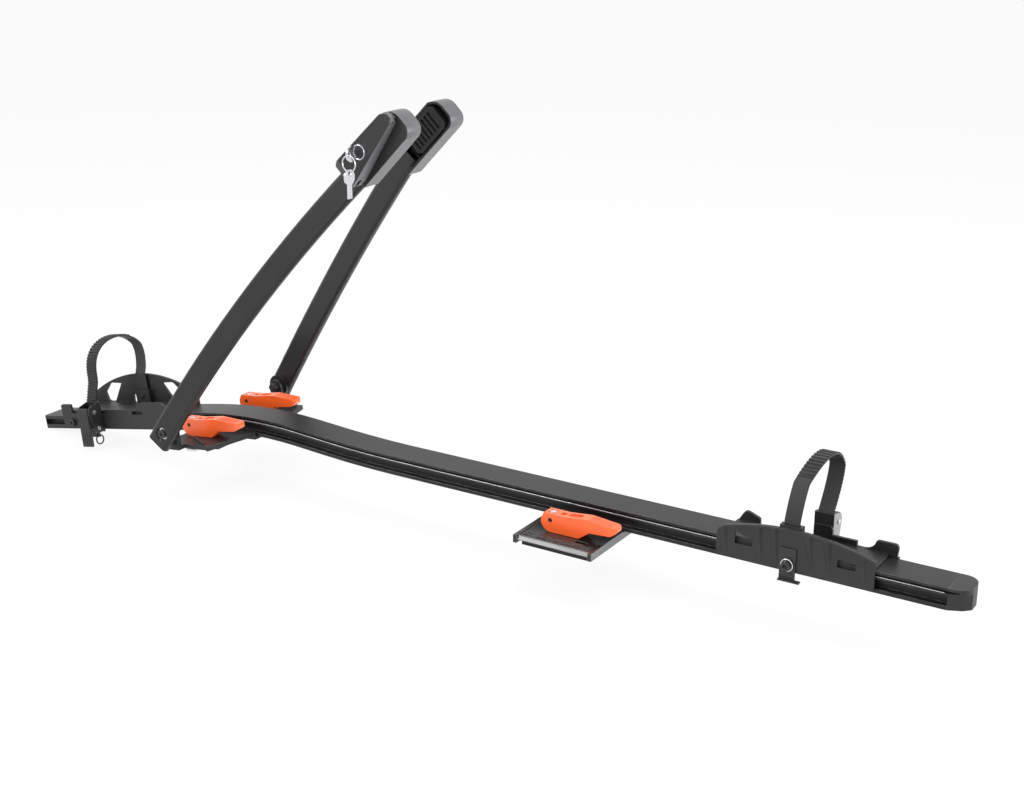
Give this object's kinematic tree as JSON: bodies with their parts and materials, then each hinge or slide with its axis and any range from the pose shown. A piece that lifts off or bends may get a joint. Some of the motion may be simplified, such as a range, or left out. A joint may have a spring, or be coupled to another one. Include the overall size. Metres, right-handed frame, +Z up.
{
  "type": "roof mounted bike carrier",
  "caption": "Roof mounted bike carrier: bent aluminium rail on cam-lever crossbar clamps, folding arms with locking frame jaws, and wheel holders with toothed ratchet straps.",
  "frame": {"origin": "centre of the front crossbar seat, on the underside of the front rubber pad", "axes": "+X along the rail towards the rear wheel holder, +Y across the car to the far arm, +Z up"},
  "size_m": [1.4824, 0.2732, 0.5692],
  "materials": {
    "black_anodised": "black anodised, satin",
    "black_tube": "black powder coat, satin",
    "black_plastic": "moulded, fine grain",
    "grey_plastic": "moulded, satin",
    "orange_plastic": "moulded, satin sheen",
    "strap_rubber": "toothed strap, matte",
    "pad_rubber": "moulded rubber, matte",
    "zinc_steel": "zinc plated",
    "dark_steel": "black steel",
    "chrome_lock": "polished"
  },
  "bodies": {
    "frame": {"rail": "black_anodised", "front_end_plug": "black_plastic", "rear_end_cap": "black_plastic", "front_bracket": "black_plastic", "front_saddle": "black_plastic", "front_pad": "pad_rubber", "bracket_bolts": "zinc_steel", "arm_pivot_bolts": "dark_steel", "arm_pivot_bushes": "black_plastic", "arm_pivot_washers": "zinc_steel", "front_wheel_holder": "black_plastic", "front_holder_bolts": "dark_steel", "front_strap": "strap_rubber", "front_strap_screw": "dark_steel", "front_buckle_frame": "dark_steel", "front_buckle_pins": "zinc_steel"},
    "near_arm": {"near_arm": "black_tube", "near_jaw_shell": "grey_plastic", "near_jaw_rivets": "dark_steel"},
    "far_arm": {"far_arm": "black_tube", "far_jaw_shell": "grey_plastic", "far_jaw_rivets": "dark_steel", "far_jaw_grip": "pad_rubber"},
    "press_pad": {"pressure_pad": "black_plastic", "near_jaw_grip": "pad_rubber"},
    "jaw_lever": {"jaw_lever": "grey_plastic", "jaw_lever_pin": "zinc_steel"},
    "lock": {"lock_cylinder": "chrome_lock", "lock_key": "chrome_lock"},
    "keys": {"key_ring": "chrome_lock", "spare_key": "chrome_lock"},
    "near_clamp_bolt": {"front_near_tbolt": "zinc_steel", "front_near_barrel": "dark_steel"},
    "near_clamp_lever": {"front_near_lever": "orange_plastic"},
    "far_clamp_bolt": {"front_far_tbolt": "zinc_steel", "front_far_barrel": "dark_steel"},
    "far_clamp_lever": {"front_far_lever": "orange_plastic"},
    "rear_foot": {"rear_foot_plate": "black_plastic", "rear_foot_pad": "pad_rubber", "rear_foot_runner": "black_plastic", "rear_foot_screws": "zinc_steel"},
    "rear_clamp_bolt": {"rear_tbolt": "zinc_steel", "rear_barrel": "dark_steel"},
    "rear_clamp_lever": {"rear_lever": "orange_plastic"},
    "rear_holder": {"rear_wheel_holder": "black_plastic", "rear_clamp_nut": "zinc_steel", "rear_strap_anchor": "dark_steel", "rear_anchor_bolt": "dark_steel", "rear_strap": "strap_rubber", "rear_buckle_frame": "dark_steel", "rear_buckle_pins": "zinc_steel"},
    "rear_ratchet": {"rear_buckle_lever": "black_plastic"},
    "rear_pawl": {"rear_buckle_pawl": "dark_steel"},
    "front_ratchet": {"front_buckle_lever": "black_plastic"},
    "front_pawl": {"front_buckle_pawl": "dark_steel"},
    "release_ring": {"front_release_ring": "dark_steel"}
  },
  "joints": [
    {"name": "near_arm_fold", "type": "hinge", "parent": "frame", "child": "near_arm", "pos_m": [-0.02786, -0.128, 0.03419], "axis": [0, 1, 0], "range_deg": [-20, 38]},
    {"name": "far_arm_fold", "type": "hinge", "parent": "frame", "child": "far_arm", "pos_m": [-0.02786, 0.128, 0.03419], "axis": [0, 1, 0], "range_deg": [-20, 38]},
    {"name": "jaw_lever_swing", "type": "hinge", "parent": "near_arm", "child": "jaw_lever", "pos_m": [0.33064, -0.0683, 0.49924], "axis": [-0.7178, 0, 0.6962], "range_deg": [0, 75]},
    {"name": "pad_press", "type": "slide", "parent": "near_arm", "child": "press_pad", "axis": [0, -1, 0], "range_m": [0, 0.01001]},
    {"name": "lock_turn", "type": "hinge", "parent": "jaw_lever", "child": "lock", "pos_m": [0.29452, -0.08256, 0.45625], "axis": [0, -1, 0], "range_deg": [0, 90]},
    {"name": "keys_swing", "type": "hinge", "parent": "lock", "child": "keys", "pos_m": [0.29452, -0.10296, 0.455], "axis": [0, 1, 0], "range_deg": [-25, 25]},
    {"name": "near_clamp_bolt_lift", "type": "slide", "parent": "frame", "child": "near_clamp_bolt", "axis": [-0.108, 0, 0.9942], "range_m": [-0.00301, 0]},
    {"name": "near_clamp_swing", "type": "hinge", "parent": "near_clamp_bolt", "child": "near_clamp_lever", "pos_m": [-0.03609, -0.062, 0.02666], "axis": [0, -1, 0], "range_deg": [0, 95]},
    {"name": "far_clamp_bolt_lift", "type": "slide", "parent": "frame", "child": "far_clamp_bolt", "axis": [-0.108, 0, 0.9942], "range_m": [-0.00301, 0]},
    {"name": "far_clamp_swing", "type": "hinge", "parent": "far_clamp_bolt", "child": "far_clamp_lever", "pos_m": [-0.03609, 0.062, 0.02666], "axis": [0, -1, 0], "range_deg": [0, 95]},
    {"name": "rear_foot_slide", "type": "slide", "parent": "frame", "child": "rear_foot", "axis": [1, 0, 0], "range_m": [-0.03, 0.1]},
    {"name": "rear_clamp_bolt_lift", "type": "slide", "parent": "rear_foot", "child": "rear_clamp_bolt", "axis": [0, 0, 1], "range_m": [-0.00301, 0]},
    {"name": "rear_clamp_swing", "type": "hinge", "parent": "rear_clamp_bolt", "child": "rear_clamp_lever", "pos_m": [0.572, -0.066, 0.01969], "axis": [0, -1, 0], "range_deg": [0, 95]},
    {"name": "rear_holder_slide", "type": "slide", "parent": "frame", "child": "rear_holder", "axis": [1, 0, 0], "range_m": [-0.08, 0.06]},
    {"name": "rear_ratchet_swing", "type": "hinge", "parent": "rear_holder", "child": "rear_ratchet", "pos_m": [0.892, 0.043, 0.05159], "axis": [1, 0, 0], "range_deg": [0, 70]},
    {"name": "rear_pawl_turn", "type": "hinge", "parent": "rear_holder", "child": "rear_pawl", "pos_m": [0.892, 0.04, 0.02659], "axis": [-1, 0, 0], "range_deg": [0, 18], "stiffness_Nm_per_rad": 0.2, "springref_deg": -11.46},
    {"name": "front_ratchet_swing", "type": "hinge", "parent": "frame", "child": "front_ratchet", "pos_m": [-0.27155, -0.043, -0.0076], "axis": [-0.9833, 0, -0.1822], "range_deg": [0, 70]},
    {"name": "front_pawl_turn", "type": "hinge", "parent": "frame", "child": "front_pawl", "pos_m": [-0.26699, -0.04, -0.03218], "axis": [0.9833, 0, 0.1822], "range_deg": [0, 18], "stiffness_Nm_per_rad": 0.2, "springref_deg": -11.46},
    {"name": "release_ring_swing", "type": "hinge", "parent": "front_pawl", "child": "release_ring", "pos_m": [-0.25694, -0.0384, -0.04252], "axis": [0, 1, 0], "range_deg": [-40, 40]}
  ],
  "couplings": [
    {"joint": "pad_press", "follows": "jaw_lever_swing", "m_per_rad": 0.0076394},
    {"joint": "near_clamp_bolt_lift", "follows": "near_clamp_swing", "m_per_rad": -0.0018093},
    {"joint": "far_clamp_bolt_lift", "follows": "far_clamp_swing", "m_per_rad": -0.0018093},
    {"joint": "rear_clamp_bolt_lift", "follows": "rear_clamp_swing", "m_per_rad": -0.0018093}
  ]
}
